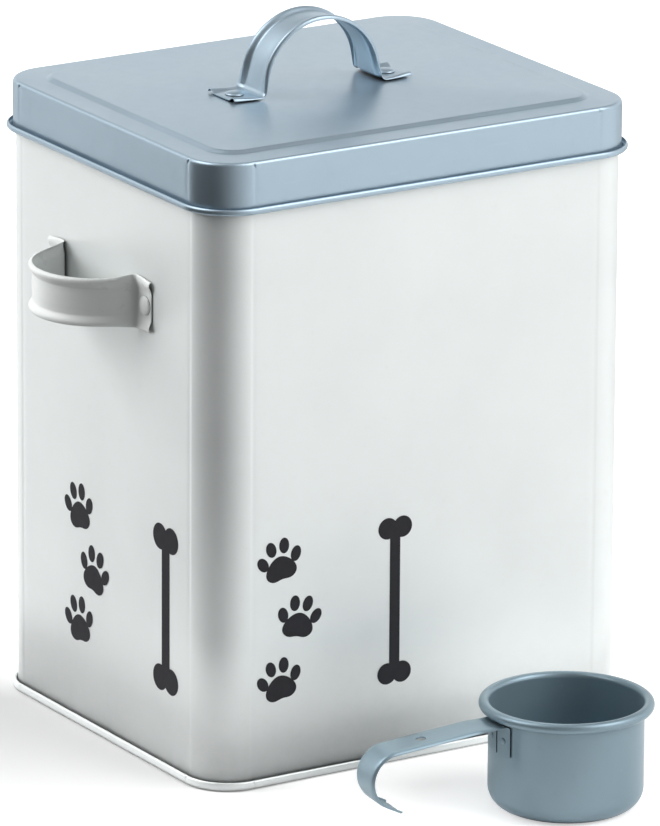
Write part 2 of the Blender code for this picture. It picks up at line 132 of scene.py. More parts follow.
# Scoop
SCOOP_HANDLE_TURN = 173.2  # degrees from +X to the handle, seen from above
CUP_RADIUS = 37.7 * MM
CUP_FLOOR_CORNER = 10.0 * MM
CUP_CURL_RADIUS = 2.4 * MM
CUP_CURL_CENTRE = 51.2 * MM
CUP_CURL_TURN = 265.0  # degrees
GRIP_SHEET = 0.9 * MM
GRIP_HALF_WIDTH = 10.0 * MM
GRIP_TAB_FOOT = 32.0 * MM
GRIP_ROOT_TOP = 47.4 * MM
GRIP_ROOT_BEND = 1.6 * MM
GRIP_SLOPE = 6.2  # degrees down from the cup
GRIP_BLEND = 10.0 * MM  # the root's hollow and its flat edges run out over this length
GRIP_HOOK_START = 94.4 * MM
GRIP_HOOK_RADIUS = 14.3 * MM
GRIP_HOOK_TURN = 147.0  # degrees
GRIP_HOOK_TAIL = 8.6 * MM
GRIP_EDGE_WIDTH = 1.2 * MM
GRIP_EDGE_DROP = 1.1 * MM
GRIP_TAB_SHIFT = 3.0 * MM  # the tabs sit this far to one side of the strip's line
GRIP_SLIT_WIDTH = 1.0 * MM
GRIP_SLIT_TOP = 44.6 * MM
GRIP_HOLE_STATION = 77.6 * MM
GRIP_HOLE_RADIUS = 2.6 * MM
GRIP_CUT_EDGE = 0.15 * MM  # rounding of its cut edges
SLIT_CUTTER_DEPTH = 8.0 * MM
HOLE_CUTTER_LENGTH = 16.0 * MM
SCOOP_RIVET_Z = 39.5 * MM
SCOOP_RIVET_SIDE = 5.4 * MM
SCOOP_RIVET_HEAD = 1.7 * MM
SCOOP_RIVET_HEIGHT = 0.45 * MM

# Printed motifs
INK_THICKNESS = 0.12 * MM
INK_LIFT = 0.02 * MM
MOTIF_LOW = 40.0 * MM
MOTIF_HIGH = 125.0 * MM

# Painted shade: the paint is darkened in gaps narrower than this
CREVICE_SHADE_DEPTH = 2.0 * MM
CREVICE_SHADE_SAMPLES = 8

# Facets for each curve
CORNER_STEPS = 48
CURL_STEPS = 20
BEND_STEPS = 12
SLOPE_STEPS = 10
BOW_STEPS = 72
HOOK_STEPS = 40
ROUND_STEPS = 144
RIVET_STEPS = 48
STRAP_FOOT_STEPS = 6
GRIP_TAB_STEPS = 8
GRIP_RUN_STEPS = 24
GRIP_TAIL_STEPS = 6
SHARP_EDGE = 38.0  # degrees between two faces
# A straight side is split closely near its ends: in pinch widths there, then in shares of its length
NEAR_SPLITS = (0.7, 1.4, 2.2, 3.2, 5.0, 9.0)
MIDDLE_SPLITS = (0.25, 0.4, 0.499, 0.501, 0.6, 0.75)

# Camera
CAMERA_AZIMUTH = -31.78  # degrees; 0 looks along +Y
CAMERA_ELEVATION = 16.91  # degrees
CAMERA_ROLL = 0.33  # degrees
CAMERA_DISTANCE = 4.433
CAMERA_TARGET = Vector((0.0065, -0.0039, 0.1482))
CAMERA_LENS = 390.76  # millimetres
CAMERA_SENSOR = 36.0  # millimetres wide
CAMERA_REACH = 200.0

# Studio
FLOOR_REACH = 40.0
FLOOR_WHITE = 0.74
# Each turns from its first level to its second towards one side of the floor:
# azimuth in degrees, the dot products where that starts and is complete, and the two levels.
# The camera sees a painted glow from below, like a light table's; it is left out where the bin's soft
# shadow falls, so the missing glow paints that shadow.
PAINTED_FLOOR_GLOW_AND_SHADOW = (-88, 0.55, 0.85, (0.5, 0.02))
# Behind the bin the floor sends back less light, so that the back walls keep their shape.
FLOOR_BEHIND = (142, 0.25, 0.85, (1.0, 0.55))
# The floor's and the room's levels on the lit and the unlit side
FLOOR_NEAR_LEVELS = (1.35, 0.6)
FLOOR_FAR_LEVELS = (0.87, 0.04)
NEAR_DISTANCES = (0.19, 0.40)  # where the near floor ends and the far floor starts, from the middle
ROOM_LEVELS = (1.0, 0.06)
CEILING_SHADE = (0.36, 0.7, 0.3)  # sines of the elevations where it starts and is full, its level
# The side of the room, and of the floor, that no lamp lights is where two soft edges overlap.
# Each has an azimuth in degrees, and the dot products where it starts and where it is fully dark.
UNLIT_EDGES = (
    (-56, 0.0, 0.36),
    (-94, -0.6, 0.75),
)
# Azimuth, elevation and spread in degrees, strength
LAMPS = (
    (-138, 25, 50, 4.2),
    (40, 36, 50, 2.5),
    (0, 90, 160, 1.0),
)
# Azimuth and elevation in degrees, focus, level
REFLECTED_PANELS = (
    (-125, 50, 18, 4.0),
    (42, 50, 18, 4.0),
)


# Lines and outlines


def arc(centre, radius, start, turn, steps):
    """Points round a circle from `start` degrees through `turn`, both ends included."""
    points = []
    for i in range(steps + 1):
        angle = math.radians(start + turn * i / steps)
        x = centre[0] + radius * math.cos(angle)
        points.append((x, centre[1] + radius * math.sin(angle)))
    return points


def quarter_dome(radius, height, steps):
    """Points down a quarter of an ellipse, from its top on the axis to its foot."""
    quarter = arc((0.0, 0.0), 1.0, 90, -90, steps)
    return [(radius * x, height * y) for x, y in quarter]


def soft_step(start, end, steps):
    """An S curve between two heights, flat at both ends."""
    points = []
    for i in range(steps + 1):
        t = i / steps
        ease = t * t * (3 - 2 * t)
        x = start[0] + (end[0] - start[0]) * t
        points.append((x, start[1] + (end[1] - start[1]) * ease))
    return points


def bell(distance, width):
    return math.exp(-((distance / width) ** 2))


def side_shares(length, fine):
    """Where a straight side between two corners is split, as shares of its length."""
    near = [step * fine / length for step in NEAR_SPLITS]
    return near + list(MIDDLE_SPLITS) + [1 - share for share in near[::-1]]


def rounded_outline(half_x, half_y, corner, fine=PINCH_WIDTH):
    """(x, y, distance to the nearest end of a corner) round a rectangle with round corners."""
    quarters = []
    middles = (
        (half_x - corner, half_y - corner),
        (-half_x + corner, half_y - corner),
        (-half_x + corner, -half_y + corner),
        (half_x - corner, -half_y + corner),
    )
    for quarter, middle in enumerate(middles):
        quarters.append(arc(middle, corner, 90 * quarter, 90, CORNER_STEPS))
    outline = []
    for i, quarter in enumerate(quarters):
        for step, (x, y) in enumerate(quarter):
            along = min(step, CORNER_STEPS - step) / CORNER_STEPS * corner * math.pi / 2
            outline.append((x, y, along))
        start = Vector(quarter[-1])
        side = Vector(quarters[(i + 1) % 4][0]) - start
        for share in side_shares(side.length, fine):
            spot = start + side * share
            outline.append((spot.x, spot.y, side.length * min(share, 1 - share)))
    return outline


def body_ring(offset, z, pinch=0.0):
    """The body's outline moved out by `offset` at height z, pulled in by `pinch` at the corner ends."""
    corner = BODY_CORNER + offset
    ring = []
    for x, y, along in rounded_outline(HALF_WIDTH + offset, HALF_DEPTH + offset, corner):
        pull = pinch * bell(along, PINCH_WIDTH)
        inward = Vector((-x, -y)).normalized() * pull
        ring.append((x + inward.x, y + inward.y, z))
    return ring


def across_path(path):
    """For each point of a path in a plane, the point and the unit normal on its left."""
    for i, here in enumerate(path):
        before = Vector(path[max(i - 1, 0)])
        after = Vector(path[min(i + 1, len(path) - 1)])
        along = (after - before).normalized()
        yield Vector(here), Vector((-along.y, along.x))


# Meshes


def mesh_from(builder, name):
    data = bpy.data.meshes.new(name)
    builder.to_mesh(data)
    builder.free()
    data.shade_smooth()
    data.set_sharp_from_angle(angle=math.radians(SHARP_EDGE))
    return data


def loft(name, sections, closed, capped=False):
    """A surface through the sections; `capped` fills the first one."""
    builder = bmesh.new()
    rows = [[builder.verts.new(point) for point in section] for section in sections]
    size = len(rows[0])
    spans = size if closed else size - 1
    for row, following in zip(rows, rows[1:]):
        for i in range(spans):
            j = (i + 1) % size
            builder.faces.new((row[i], row[j], following[j], following[i]))
    if capped:
        builder.faces.new(rows[0])
    bmesh.ops.recalc_face_normals(builder, faces=builder.faces)
    return mesh_from(builder, name)


def turned(name, profile, steps):
    """A profile of (radius, height) points turned round Z."""
    builder = bmesh.new()
    chain = [builder.verts.new((radius, 0.0, z)) for radius, z in profile]
    edges = [builder.edges.new(pair) for pair in zip(chain, chain[1:])]
    bmesh.ops.spin(
        builder,
        geom=chain + edges,
        cent=(0, 0, 0),
        axis=(0, 0, 1),
        angle=2 * math.pi,
        steps=steps,
        use_merge=True,
    )
    bmesh.ops.remove_doubles(builder, verts=builder.verts, dist=0.00001)
    bmesh.ops.recalc_face_normals(builder, faces=builder.faces)
    return mesh_from(builder, name)


def prism(name, outline, thickness):
    """A flat outline in the XY plane, filled and raised by `thickness`."""
    builder = bmesh.new()
    rim = [builder.verts.new((x, y, 0.0)) for x, y in outline]
    face = builder.faces.new(rim)
    raised = bmesh.ops.extrude_face_region(builder, geom=[face])["geom"]
    moved = [item for item in raised if isinstance(item, bmesh.types.BMVert)]
    bmesh.ops.translate(builder, verts=moved, vec=(0, 0, thickness))
    bmesh.ops.recalc_face_normals(builder, faces=builder.faces)
    return mesh_from(builder, name)


def cylinder(radius, length):
    builder = bmesh.new()
    bmesh.ops.create_cone(
        builder, cap_ends=True, segments=RIVET_STEPS, radius1=radius, radius2=radius, depth=length
    )
    return mesh_from(builder, "cylinder")


def block(size):
    builder = bmesh.new()
    bmesh.ops.create_cube(builder, size=1.0)
    bmesh.ops.scale(builder, vec=size, verts=builder.verts)
    return mesh_from(builder, "block")


def add_object(name, mesh, matrix=Matrix.Identity(4)):
    thing = bpy.data.objects.new(name, mesh)
    bpy.context.scene.collection.objects.link(thing)
    thing.matrix_world = matrix
    return thing


def thicken(thing, thickness):
    modifier = thing.modifiers.new("sheet", "SOLIDIFY")
    modifier.thickness = thickness
    modifier.offset = 0.0
    modifier.use_even_offset = True
    modifier.thickness_clamp = 1.2


def soften(thing, width):
    """Rounds the sheet's cut edges."""
    modifier = thing.modifiers.new("edges", "BEVEL")
    modifier.width = width
    modifier.segments = 2
    modifier.limit_method = "ANGLE"
    modifier.angle_limit = math.radians(50)


def cut(thing, mesh, matrix):
    """Takes a cutter's shape out of a piece for good."""
    cutter = add_object("cutter", mesh, matrix)
    modifier = thing.modifiers.new("cut", "BOOLEAN")
    modifier.operation = "DIFFERENCE"
    modifier.solver = "EXACT"
    modifier.object = cutter
    freeze(thing)
    bpy.data.objects.remove(cutter, do_unlink=True)


def freeze(thing):
    """Applies a piece's modifiers to its mesh."""
    bpy.context.view_layer.update()
    seen = thing.evaluated_get(bpy.context.evaluated_depsgraph_get())
    mesh = bpy.data.meshes.new_from_object(seen)
    thing.modifiers.clear()
    thing.data = mesh
    mesh.shade_smooth()
    mesh.set_sharp_from_angle(angle=math.radians(SHARP_EDGE))


def piece(thing, material, body, slot, *nodes):
    """Paints a piece, puts it on its body and hides the CAD nodes it stands for."""
    thing.data.materials.clear()
    thing.data.materials.append(material)
    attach(thing, body)
    if nodes:
        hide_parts(*nodes)
    return thing


# Materials


class Nodes:
    """Adds and links a material's nodes in short lines."""

    def __init__(self, tree):
        self.tree = tree

    def add(self, kind, **settings):
        node = self.tree.nodes.new(kind)
        for key, value in settings.items():
            setattr(node, key, value)
        return node

    def link(self, source, target):
        self.tree.links.new(source, target)

    def noise(self, coordinates, size, detail=2.0, roughness=0.5, stretch=(1, 1, 1)):
        """Noise whose features are about `size` metres across."""
        mapping = self.add("ShaderNodeMapping")
        mapping.inputs["Scale"].default_value = [value / size for value in stretch]
        self.link(coordinates, mapping.inputs["Vector"])
        noise = self.add("ShaderNodeTexNoise")
        noise.inputs["Scale"].default_value = 1.0
        noise.inputs["Detail"].default_value = detail
        noise.inputs["Roughness"].default_value = roughness
        self.link(mapping.outputs["Vector"], noise.inputs["Vector"])
        return noise.outputs["Fac"]

    def remap(self, source, low, high, out_low, out_high):
        node = self.add("ShaderNodeMapRange")
        for name, value in (
            ("From Min", low),
            ("From Max", high),
            ("To Min", out_low),
            ("To Max", out_high),
        ):
            node.inputs[name].default_value = value
        self.link(source, node.inputs["Value"])
        return node.outputs["Result"]

    def math(self, operation, first, second):
        node = self.add("ShaderNodeMath", operation=operation)
        for socket, value in zip(node.inputs, (first, second)):
            if isinstance(value, (int, float)):
                socket.default_value = value
            else:
                self.link(value, socket)
        return node.outputs["Value"]

    def blend(self, share, first, second):
        """A colour between two, each a colour or a socket."""
        node = self.add("ShaderNodeMix", data_type="RGBA")
        self.link(share, node.inputs["Factor"])
        for name, value in (("A", first), ("B", second)):
            socket = next(s for s in node.inputs if s.name == name and s.type == "RGBA")
            if isinstance(value, tuple):
                socket.default_value = (*value, 1.0)
            else:
                self.link(value, socket)
        return next(s for s in node.outputs if s.type == "RGBA")

    def level_mix(self, share, first, second):
        """A number between two, each a number or a socket."""
        node = self.add("ShaderNodeMix", data_type="FLOAT")
        self.link(share, node.inputs["Factor"])
        for name, value in (("A", first), ("B", second)):
            if isinstance(value, (int, float)):
                node.inputs[name].default_value = value
            else:
                self.link(value, node.inputs[name])
        return node.outputs["Result"]

    def bump(self, height, distance, strength, before=None):
        node = self.add("ShaderNodeBump")
        node.inputs["Distance"].default_value = distance
        node.inputs["Strength"].default_value = strength
        self.link(height, node.inputs["Height"])
        if before is not None:
            self.link(before, node.inputs["Normal"])
        return node.outputs["Normal"]


def new_material(name):
    material = bpy.data.materials.new(name)
    material.use_nodes = True
    nodes = Nodes(material.node_tree)
    shader = material.node_tree.nodes["Principled BSDF"]
    coordinates = nodes.add("ShaderNodeTexCoord").outputs["Object"]
    return material, nodes, shader, coordinates


def scaled(colour, factor):
    return tuple(min(1.0, channel * factor) for channel in colour)


def painted_metal(name, colour, worn, roughness, metallic, peel, wear, crevice_shade=0.1):
    """Sprayed paint on sheet: orange peel, clouding, rubbed edges, hairline scratches, and painted shade
    in crevices.

    `worn` is the colour that rubbed edges go to, `peel` the depth of the orange peel in metres,
    `wear` how far an edge goes to the worn colour, and `crevice_shade` the share of the colour left
    in a tight crevice, where shade is painted into the colour.
    """
    material, nodes, shader, where = new_material(name)
    clouds = nodes.noise(where, 60 * MM, 3.0)
    mottle = nodes.noise(where, 6 * MM, 4.0, 0.6)
    grain = nodes.noise(where, 0.9 * MM, 2.0)
    sheet_waves = nodes.noise(where, 75 * MM, 1.0)
    scratches = nodes.noise(where, 1.0 * MM, 2.0, 0.5, (0.04, 0.9, 0.35))
    hairlines = nodes.remap(scratches, 0.70, 0.76, 0.0, 1.0)

    cloud_share = nodes.remap(clouds, 0.3, 0.7, 0.0, 1.0)
    tone = nodes.blend(cloud_share, scaled(colour, 0.965), scaled(colour, 1.02))
    tone = nodes.blend(nodes.remap(mottle, 0.62, 0.8, 0.0, 0.35), tone, scaled(colour, 0.9))
    pointed = nodes.add("ShaderNodeNewGeometry").outputs["Pointiness"]
    edges = nodes.remap(pointed, 0.53, 0.60, 0.0, wear)
    edges = nodes.math("MULTIPLY", edges, nodes.remap(mottle, 0.35, 0.6, 0.3, 1.0))
    tone = nodes.blend(edges, tone, worn)
    tone = nodes.blend(nodes.math("MULTIPLY", hairlines, 0.12), tone, worn)
    # Painted shade: the colour goes darker where other surfaces lie within a couple of millimetres, as in
    # gaps and contact lines.
    crevice_occlusion = nodes.add("ShaderNodeAmbientOcclusion", samples=CREVICE_SHADE_SAMPLES)
    crevice_occlusion.inputs["Distance"].default_value = CREVICE_SHADE_DEPTH
    painted_crevice_shade = nodes.remap(crevice_occlusion.outputs["AO"], 0.3, 0.8, 0.9, 0.0)
    tone = nodes.blend(painted_crevice_shade, tone, scaled(colour, crevice_shade))
    nodes.link(tone, shader.inputs["Base Color"])

    dull = nodes.remap(clouds, 0.3, 0.7, roughness - 0.035, roughness + 0.035)
    dull = nodes.math("ADD", dull, nodes.remap(mottle, 0.3, 0.7, -0.02, 0.03))
    dull = nodes.math("ADD", dull, nodes.math("MULTIPLY", hairlines, 0.10))
    nodes.link(dull, shader.inputs["Roughness"])

    normal = nodes.bump(sheet_waves, 0.5 * MM, 0.5)
    normal = nodes.bump(grain, peel, 0.6, normal)
    nodes.link(normal, shader.inputs["Normal"])
    shader.inputs["Metallic"].default_value = metallic
    return material


def printed_ink(name, colour):
    """Screen-printed ink: slightly uneven cover with fine pinholes at its grain."""
    material, nodes, shader, where = new_material(name)
    mottle = nodes.noise(where, 5 * MM, 4.0, 0.6)
    grain = nodes.noise(where, 0.5 * MM, 2.0)
    cover = nodes.remap(mottle, 0.3, 0.7, 0.0, 1.0)
    tone = nodes.blend(cover, scaled(colour, 0.8), scaled(colour, 1.35))
    tone = nodes.blend(nodes.remap(grain, 0.72, 0.80, 0.0, 0.5), tone, scaled(colour, 4.0))
    nodes.link(tone, shader.inputs["Base Color"])
    nodes.link(nodes.remap(mottle, 0.3, 0.7, 0.48, 0.62), shader.inputs["Roughness"])
    shader.inputs["Specular IOR Level"].default_value = 0.3
    nodes.link(nodes.bump(grain, 0.03 * MM, 0.5), shader.inputs["Normal"])
    return material


WHITE_PAINT = painted_metal(
    "white_paint",
    colour=(0.81, 0.845, 0.84),
    worn=(0.90, 0.905, 0.90),
    roughness=0.40,
    metallic=0.42,
    peel=0.035 * MM,
    wear=0.55,
    crevice_shade=0.6,
)
HANDLE_PAINT = painted_metal(
    "handle_paint",
    colour=(0.70, 0.725, 0.715),
    worn=(0.90, 0.905, 0.90),
    roughness=0.30,
    metallic=0.0,
    peel=0.03 * MM,
    wear=0.7,
)
LID_PAINT = painted_metal(
    "lid_paint",
    colour=(0.415, 0.525, 0.61),
    worn=(0.66, 0.75, 0.80),
    roughness=0.34,
    metallic=0.85,
    peel=0.025 * MM,
    wear=0.45,
)
SCOOP_PAINT = painted_metal(
    "scoop_paint",
    colour=(0.25, 0.34, 0.395),
    worn=(0.42, 0.51, 0.56),
    roughness=0.33,
    metallic=0.6,
    peel=0.03 * MM,
    wear=0.4,
)
INK = printed_ink("charcoal_ink", (0.013, 0.013, 0.016))


# Bin body


def wall_sheet():
    """The wrapped wall with its inward rim curl, and a groove at the back where the sheet locks."""
    middle = -SHEET / 2
    curl = (middle - RIM_CURL_RADIUS, RIM_TOP - SHEET / 2 - RIM_CURL_RADIUS)
    line = [(middle, WALL_FOOT)]
    line += [(middle, WALL_FOOT + share * (curl[1] - WALL_FOOT)) for share in (0.25, 0.5, 0.75)]
    line += arc(curl, RIM_CURL_RADIUS, 0, RIM_CURL_TURN, CURL_STEPS)
    rings = []
    for offset, z in line:
        ring = []
        for x, y, z_here in body_ring(offset, z):
            groove = bell(x, SEAM_GROOVE_WIDTH) if y > 0 and z < LOCK_SEAM_HEAD else 0.0
            ring.append((x, y - groove * SEAM_GROOVE_DEPTH, z_here))
        rings.append(ring)
    sheet = add_object("wall_sheet", loft("wall_sheet", rings, True))
    thicken(sheet, SHEET)
    return piece(sheet, WHITE_PAINT, "bin", "bin_paint", "body_shell")


def lock_seam():
    """The folded strip inside the back wall."""
    height = LOCK_SEAM_HEAD - LOCK_SEAM_FOOT
    place = (0, HALF_DEPTH - SHEET - GAP - LOCK_SEAM_THICKNESS / 2, LOCK_SEAM_FOOT + height / 2)
    mesh = block((LOCK_SEAM_WIDTH, LOCK_SEAM_THICKNESS, height))
    strip = add_object("lock_seam", mesh, Matrix.Translation(place))
    soften(strip, LOCK_SEAM_EDGE)
    return piece(strip, WHITE_PAINT, "bin", "bin_paint")


def base_tray():
    """From the middle out: panel, step up, leg inside the wall, channel under it, outer hem."""
    floor = PAN_LOW.z + SHEET / 2
    shelf = floor + PANEL_LIFT
    inner = -SHEET - GAP - SHEET / 2
    outer = GAP + SHEET / 2
    hem = outer + SEAM_HEM_RADIUS
    crown = SEAM_HEIGHT - SHEET / 2 - SEAM_HEM_RADIUS
    step = -PANEL_STEP_INSET
    line = [(offset, z, 0.0) for offset, z in soft_step(
        (step - PANEL_STEP_WIDTH, floor), (step, shelf), SLOPE_STEPS
    )]
    line += [(inner - PANEL_CHAMFER, shelf, 0.0), (inner, shelf - PANEL_CHAMFER, 0.0)]
    line += [(inner, floor, 0.0), (outer, floor, 0.0)]
    for offset, z in arc((hem, crown), SEAM_HEM_RADIUS, 180, -180, BEND_STEPS):
        outward = (offset - outer) / (2 * SEAM_HEM_RADIUS)
        line.append((offset, z, HEM_PINCH_DEPTH * outward * outward))
    line.append((SEAM_PROUD - SHEET / 2, SHEET + HEM_LIP, HEM_PINCH_DEPTH / 2))
    line.append((SEAM_PROUD - SHEET / 2, SHEET, 0.0))
    rings = [body_ring(*ring) for ring in line]
    tray = add_object("base_tray", loft("base_tray", rings, True, capped=True))
    thicken(tray, SHEET)
    return piece(tray, WHITE_PAINT, "bin", "bin_paint", "base_pan")


# Lid


def lid_ring(offset, z, pinch=0.0):
    """The lid's outline; inside the edge it changes to the raised panel's own outline."""
    if offset > -LID_PANEL_INSET_Y / 2:
        return body_ring(offset, z, pinch)
    beyond = offset + LID_PANEL_INSET_Y
    half_x = HALF_WIDTH - LID_PANEL_INSET_X + beyond
    half_y = HALF_DEPTH - LID_PANEL_INSET_Y + beyond
    outline = rounded_outline(half_x, half_y, LID_PANEL_CORNER + beyond)
    return [(x, y, z) for x, y, _ in outline]


def lid_sheet():
    """From the middle out: raised panel, its slope, top, rounded edge, skirt, open curl."""
    skirt = LID_SKIRT_OFFSET - SHEET / 2
    flat = LID_TOP - SHEET / 2
    slope = LID_PANEL_SLOPE / 2
    inset = -LID_PANEL_INSET_Y
    raised = flat + LID_PANEL_RAISE
    panel = soft_step((inset - slope, raised), (inset + slope, flat), SLOPE_STEPS)
    line = [(offset, z, 0.0) for offset, z in panel]
    edge = LID_EDGE_RADIUS - SHEET / 2
    for offset, z in arc((skirt - edge, flat - edge), edge, 90, -90, BEND_STEPS):
        line.append((offset, z, LID_PINCH_DEPTH * max(0.0, (flat - z) / edge)))
    for drop, share in LID_PINCH_FADE:
        line.append((skirt, flat - edge - drop, share * LID_PINCH_DEPTH))
    curl = (skirt + LID_CURL_RADIUS, LID_SKIRT_FOOT)
    for offset, z in arc(curl, LID_CURL_RADIUS, 180, LID_CURL_TURN, CURL_STEPS):
        line.append((offset, z, 0.0))
    rings = [lid_ring(*ring) for ring in line]
    lid = add_object("lid_sheet", loft("lid_sheet", rings, True, capped=True))
    thicken(lid, SHEET)
    return piece(lid, LID_PAINT, "lid", "lid_paint", "lid_pan")


# Strap handles


def strap_path(half_length, rise):
    """(along, out) points of the strap's middle, from foot to foot."""
    lean = math.radians(STRAP_LEG_LEAN)
    bend_turn = 90 - STRAP_LEG_LEAN
    bend = arc((-STRAP_LEG_BASE, STRAP_BEND), STRAP_BEND, -90, bend_turn, BEND_STEPS)
    foot = bend[-1]
    span = -foot[0] - (rise - foot[1]) * math.tan(lean)
    radius = span / (math.cos(lean) - (1 - math.sin(lean)) * math.tan(lean))
    bow_turn = 2 * STRAP_LEG_LEAN - 180
    bow = arc((0.0, rise - radius), radius, 180 - STRAP_LEG_LEAN, bow_turn, BOW_STEPS)
    end = (-half_length, 0.0)
    flat = [(end[0] + (bend[0][0] - end[0]) * i / STRAP_FOOT_STEPS, 0.0) for i in range(STRAP_FOOT_STEPS)]
    legs = [
        (foot[0] + (bow[0][0] - foot[0]) * share, foot[1] + (bow[0][1] - foot[1]) * share)
        for share in (0.33, 0.67)
    ]
    leg = flat + bend + legs
    return leg + bow + [(-x, y) for x, y in leg[::-1]]


def pressed(along, out):
    """How far the beads are pressed flat at this point of the path, from 0 to PRESS_DEPTH."""
    from_bend = bell(abs(along) - STRAP_LEG_BASE, PRESS_FOOT_REACH)
    return PRESS_DEPTH * from_bend * bell(out, PRESS_LEG_REACH)


def strap_section():
    """(across, out) points: flat middle, and on each side a bead with a turned-down lip."""
    peak = (STRAP_BEAD_PEAK, STRAP_BEAD_RISE)
    half = [(STRAP_FLAT_HALF * share, 0.0) for share in (0.2, 0.6)]
    half += soft_step((STRAP_FLAT_HALF, 0.0), peak, SLOPE_STEPS)
    lip_width = STRAP_HALF_WIDTH - STRAP_SHEET / 2 - STRAP_BEAD_PEAK
    for across, out in quarter_dome(lip_width, STRAP_BEAD_RISE - STRAP_LIP_RISE, SLOPE_STEPS)[1:]:
        half.append((STRAP_BEAD_PEAK + across, STRAP_LIP_RISE + out))
    return [(-across, out) for across, out in half[::-1]] + half


def strap_mesh(half_length, rise):
    sections = []
    for here, normal in across_path(strap_path(half_length, rise)):
        flat = pressed(here.x, here.y)
        section = []
        for across, out in strap_section():
            bead = max(0.0, abs(across) - STRAP_FLAT_HALF)
            across += math.copysign(bead * PRESS_SPREAD * flat, across)
            spot = here + normal * out * (1 - flat)
            section.append((spot.x, across, spot.y))
        sections.append(section)
    return loft("strap", sections, False)


def rivet_mesh():
    """Its head sits on z = 0, its clinched end under the sheets."""
    grip = STRAP_SHEET + SHEET + 3 * GAP
    profile = quarter_dome(RIVET_HEAD_RADIUS, RIVET_HEAD_HEIGHT, BEND_STEPS)
    profile += [(RIVET_SHANK, 0.0), (RIVET_SHANK, -grip)]
    clinch = quarter_dome(RIVET_CLINCH_RADIUS, RIVET_CLINCH_HEIGHT, 6)
    profile += [(radius, -grip - z) for radius, z in clinch[::-1]]
    return turned("rivet", profile, RIVET_STEPS)


def strap_handle(name, size, seat, body, slot, material, node, rivet_nodes):
    """A strap and its two rivets; the seat's X runs along the strap and its Z out of the sheet."""
    lifted = seat @ Matrix.Translation((0, 0, GAP + STRAP_SHEET / 2))
    strap = add_object(f"{name}_strap", strap_mesh(*size), lifted)
    thicken(strap, STRAP_SHEET)
    soften(strap, STRAP_EDGE)
    piece(strap, material, body, slot, node)
    for end, side in zip(rivet_nodes, (-1, 1)):
        spot = (side * RIVET_STATION, 0, STRAP_SHEET + 2 * GAP)
        rivet = add_object(f"{name}_{end}_rivet", rivet_mesh(), seat @ Matrix.Translation(spot))
        piece(rivet, material, body, slot, f"{node}_rivet_{end}")


def box_middle(node):
    low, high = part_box(node)
    return (low + high) / 2


def handles():
    for side, name in ((-1, "left"), (1, "right")):
        node = f"side_handle_{name}"
        middle = box_middle(node)
        turn = Matrix.Rotation(side * math.radians(90), 4, "Z")
        stand = Matrix.Rotation(math.radians(90), 4, "X")
        seat = Matrix.Translation((side * HALF_WIDTH, middle.y, middle.z)) @ turn @ stand
        ends = ("rear", "front") if side < 0 else ("front", "rear")
        strap_handle(
            f"{name}_handle", SIDE_STRAP, seat, "bin", "handle_paint", HANDLE_PAINT, node, ends
        )
    middle = box_middle("lid_handle")
    seat = Matrix.Translation((middle.x, middle.y, LID_TOP + LID_PANEL_RAISE))
    strap_handle(
        "top_handle", LID_STRAP, seat, "lid", "lid_paint", LID_PAINT, "lid_handle", ("left", "right")
    )


# Scoop


def scoop_frame():
    """The cup's middle on the floor, with +X out along the grip."""
    middle = box_middle("scoop_cup")
    turn = Matrix.Rotation(math.radians(SCOOP_HANDLE_TURN), 4, "Z")
    return Matrix.Translation((middle.x, middle.y, CUP_LOW.z)) @ turn


def scoop_cup(place):
    middle = CUP_RADIUS - SHEET / 2
    corner = CUP_FLOOR_CORNER - SHEET / 2
    floor = SHEET / 2
    line = [(0.0, floor), (0.4 * middle, floor)]
    line += arc((middle - corner, floor + corner), corner, -90, 90, BEND_STEPS)
    line.append((middle, 0.5 * (floor + corner + CUP_CURL_CENTRE)))
    curl = (middle + CUP_CURL_RADIUS, CUP_CURL_CENTRE)
    line += arc(curl, CUP_CURL_RADIUS, 180, -CUP_CURL_TURN, CURL_STEPS)
    cup = add_object("cup", turned("cup", line, ROUND_STEPS), place)
    thicken(cup, SHEET)
    return piece(cup, SCOOP_PAINT, "scoop", "scoop_paint", "scoop_cup")


def grip_path():
    """(out, height) points of the strip's middle, from the foot of its tabs to the hook's tip."""
    wall = CUP_RADIUS + GAP + GRIP_SHEET / 2
    bend = GRIP_ROOT_BEND
    slope = math.radians(GRIP_SLOPE)
    root = arc((wall + bend, GRIP_ROOT_TOP - bend), bend, 180, -90 - GRIP_SLOPE, BEND_STEPS)
    rise = root[0][1] - GRIP_TAB_FOOT
    line = [(wall, GRIP_TAB_FOOT + rise * i / GRIP_TAB_STEPS) for i in range(GRIP_TAB_STEPS)]
    line += root
    start = line[-1]
    for i in range(1, GRIP_RUN_STEPS + 1):
        run = (GRIP_HOOK_START - start[0]) * i / GRIP_RUN_STEPS
        line.append((start[0] + run, start[1] - run * math.tan(slope)))
    hook = line[-1]
    radius = GRIP_HOOK_RADIUS
    centre = (hook[0] - radius * math.sin(slope), hook[1] - radius * math.cos(slope))
    line += arc(centre, radius, 90 - GRIP_SLOPE, -GRIP_HOOK_TURN, HOOK_STEPS)[1:]
    heading = -math.radians(GRIP_SLOPE + GRIP_HOOK_TURN)
    tip = line[-1]
    for i in range(1, GRIP_TAIL_STEPS + 1):
        reach = GRIP_HOOK_TAIL * i / GRIP_TAIL_STEPS
        line.append((tip[0] + math.cos(heading) * reach, tip[1] + math.sin(heading) * reach))
    return line


def grip_section():
    """(across, drop) points: a flat strip with both edges turned down."""
    edge = GRIP_HALF_WIDTH - GRIP_SHEET / 2
    inner = edge - GRIP_EDGE_WIDTH
    half = [(inner * share, 0.0) for share in (0.06, 0.3, 0.55, 0.8)]
    half += soft_step((inner, 0.0), (edge, GRIP_EDGE_DROP), 5)
    return [(-across, drop) for across, drop in half[::-1]] + half


